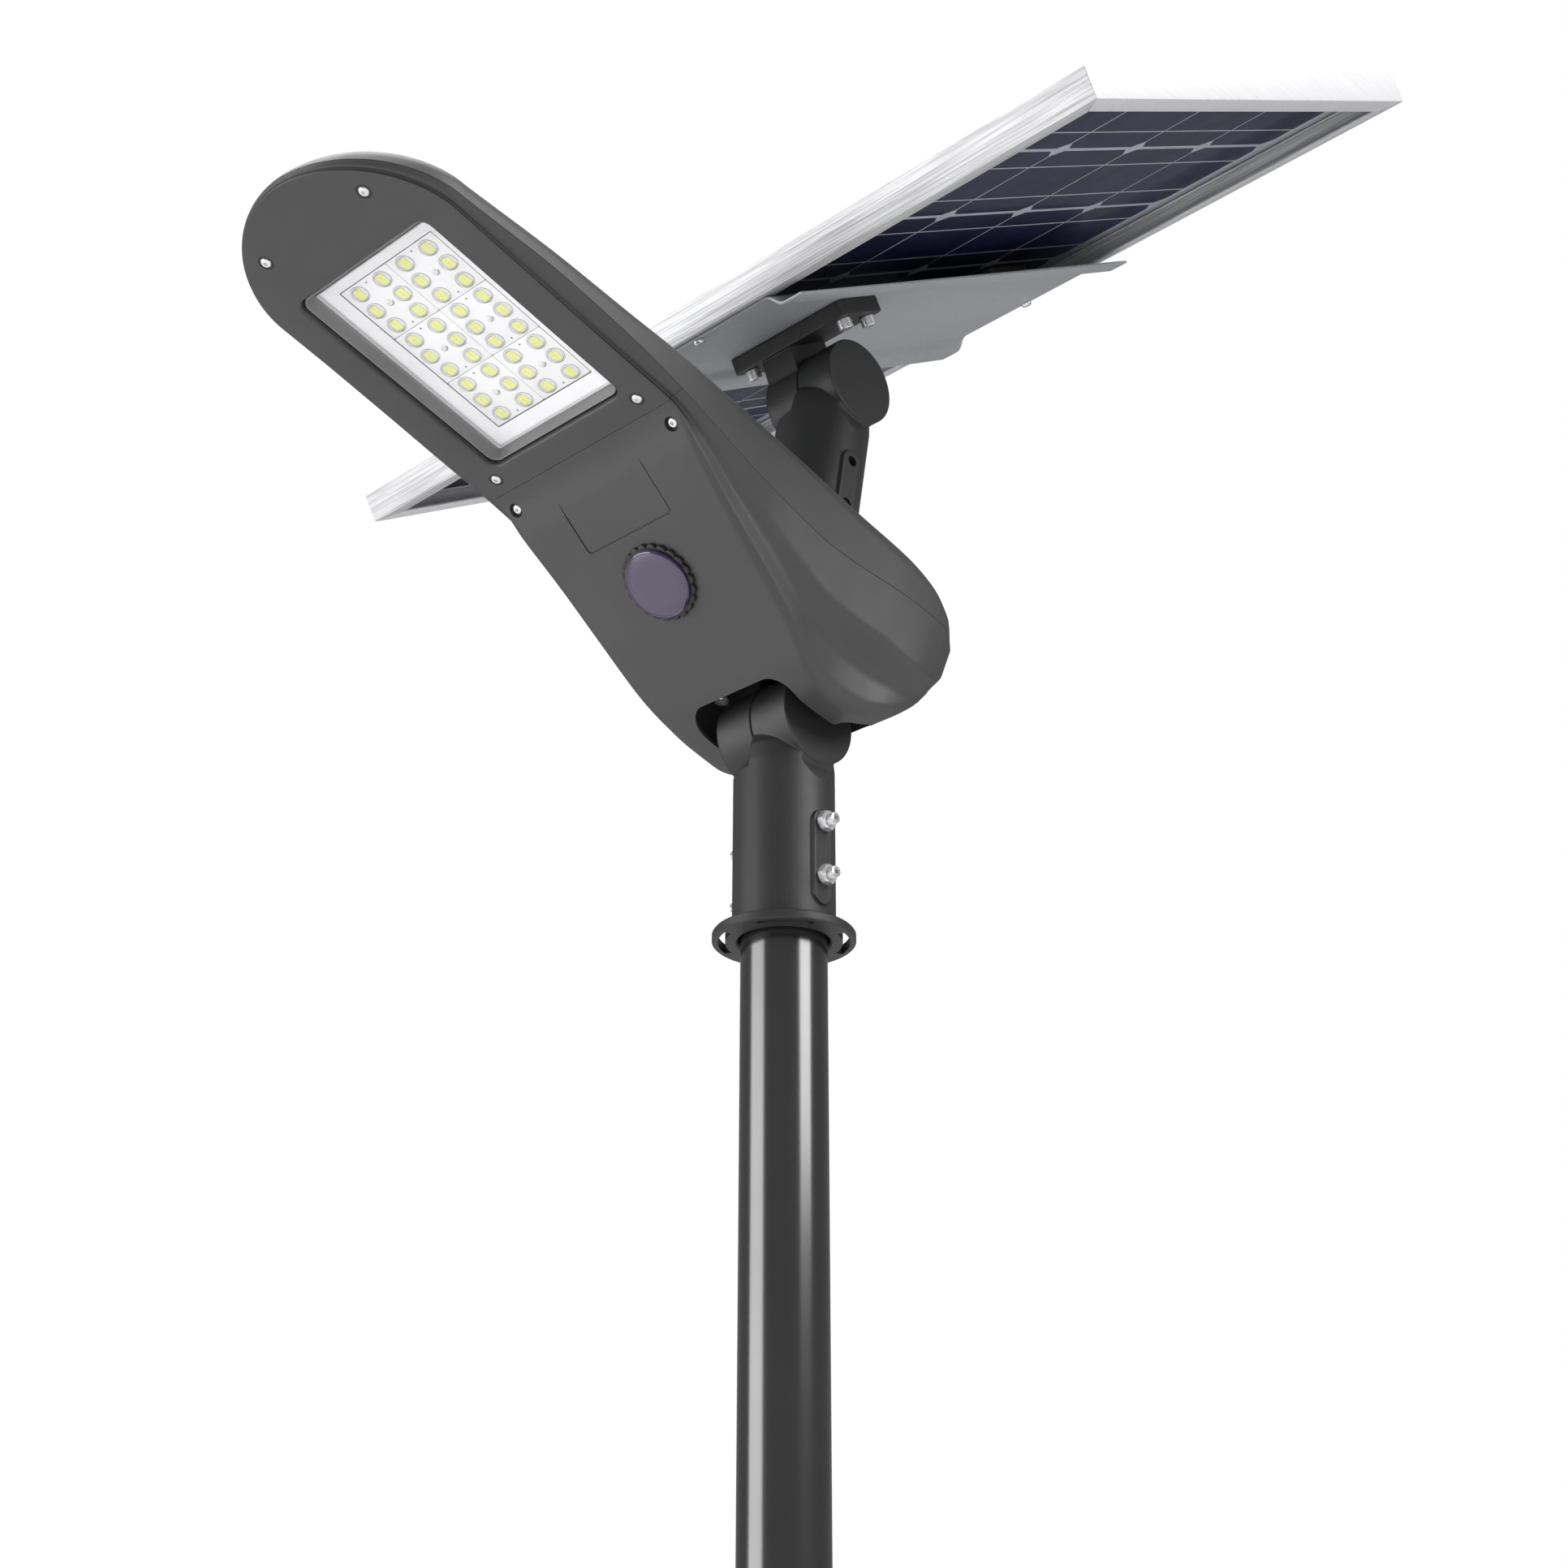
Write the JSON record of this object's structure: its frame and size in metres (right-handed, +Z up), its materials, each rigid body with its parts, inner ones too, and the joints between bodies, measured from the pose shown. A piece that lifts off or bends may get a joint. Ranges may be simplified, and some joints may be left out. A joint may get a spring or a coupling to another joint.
{
  "type": "solar street lamp",
  "caption": "Pole-top solar street lamp: bent LED head on a tilting knuckle, with a framed solar panel on a second tilting knuckle above it.",
  "frame": {"origin": "centre of the pole section's bottom end", "axes": "+Z up along the pole, +X along both knuckle axes, -Y towards the lamp's nose"},
  "size_m": [0.755, 0.7774, 1.4555],
  "materials": {
    "pole": "gloss",
    "casting": "satin",
    "housing": "satin",
    "fasteners": "bright",
    "bezel": "satin",
    "window": "clear",
    "gasket": "matte",
    "reflector": "white",
    "lens": "clear",
    "board": "white solder mask",
    "battery": "shrink wrap",
    "black_plastic": "matte",
    "sensor": "smooth",
    "channel": "galvanised",
    "frame": "brushed",
    "laminate": "dark blue cells under glass"
  },
  "bodies": {
    "mast": {"pole_section": "pole"},
    "coupling": {"lower_sleeve": "casting", "lower_clamp_bolt": "fasteners", "set_screw_1": "fasteners", "set_screw_2": "fasteners", "set_screw_3": "fasteners", "set_screw_4": "fasteners", "lock_nut_1": "fasteners", "lock_nut_2": "fasteners", "lock_nut_3": "fasteners", "lock_nut_4": "fasteners"},
    "head": {"lower_arm": "casting", "arm_screw_1": "fasteners", "arm_screw_2": "fasteners", "arm_screw_3": "fasteners", "arm_screw_4": "fasteners", "upper_housing": "housing", "neck_post": "casting", "front_cover": "housing", "rear_cover": "housing", "cover_screw_1": "fasteners", "cover_screw_2": "fasteners", "cover_screw_3": "fasteners", "cover_screw_4": "fasteners", "cover_screw_5": "fasteners", "cover_screw_6": "fasteners", "bezel": "bezel", "window_glass": "window", "window_gasket": "gasket", "reflector_tray": "reflector", "lens_plate_1": "lens", "lens_plate_2": "lens", "lens_plate_3": "lens", "lens_plate_4": "lens", "lens_plate_5": "lens", "lens_plate_6": "lens", "led_board": "board", "battery_pack": "battery", "charge_controller": "black_plastic", "sensor_socket": "black_plastic"},
    "sensor": {"sensor_lens": "sensor"},
    "panel_coupling": {"upper_sleeve": "casting", "upper_clamp_bolt": "fasteners", "grub_screw_1": "fasteners", "grub_screw_2": "fasteners"},
    "panel": {"upper_arm": "casting", "plate_bolt_1": "fasteners", "plate_bolt_2": "fasteners", "plate_bolt_3": "fasteners", "plate_bolt_4": "fasteners", "hat_channel": "channel", "frame_rail_low": "frame", "frame_rail_high": "frame", "frame_rail_right": "frame", "frame_rail_left": "frame", "channel_screw_1": "fasteners", "channel_screw_2": "fasteners", "solar_laminate": "laminate", "junction_box": "black_plastic"}
  },
  "joints": [
    {"name": "sleeve_swivel", "type": "hinge", "parent": "mast", "child": "coupling", "pos_m": [0, 0, 0.9], "axis": [0, 0, 1], "continuous": true},
    {"name": "head_tilt", "type": "hinge", "parent": "coupling", "child": "head", "pos_m": [0, 0, 0.9], "axis": [1, 0, 0], "range_deg": [-20, 30]},
    {"name": "sensor_twist", "type": "hinge", "parent": "head", "child": "sensor", "pos_m": [0, -0.12294, 0.97341], "axis": [0, 0.6624, 0.7492], "range_deg": [0, 35]},
    {"name": "panel_swivel", "type": "hinge", "parent": "head", "child": "panel_coupling", "pos_m": [0, 0.0489, 1.2059], "axis": [0, 0.1736, 0.9848], "continuous": true},
    {"name": "panel_tilt", "type": "hinge", "parent": "panel_coupling", "child": "panel", "pos_m": [0, 0.0489, 1.2059], "axis": [1, 0, 0], "range_deg": [-30, 30]}
  ]
}
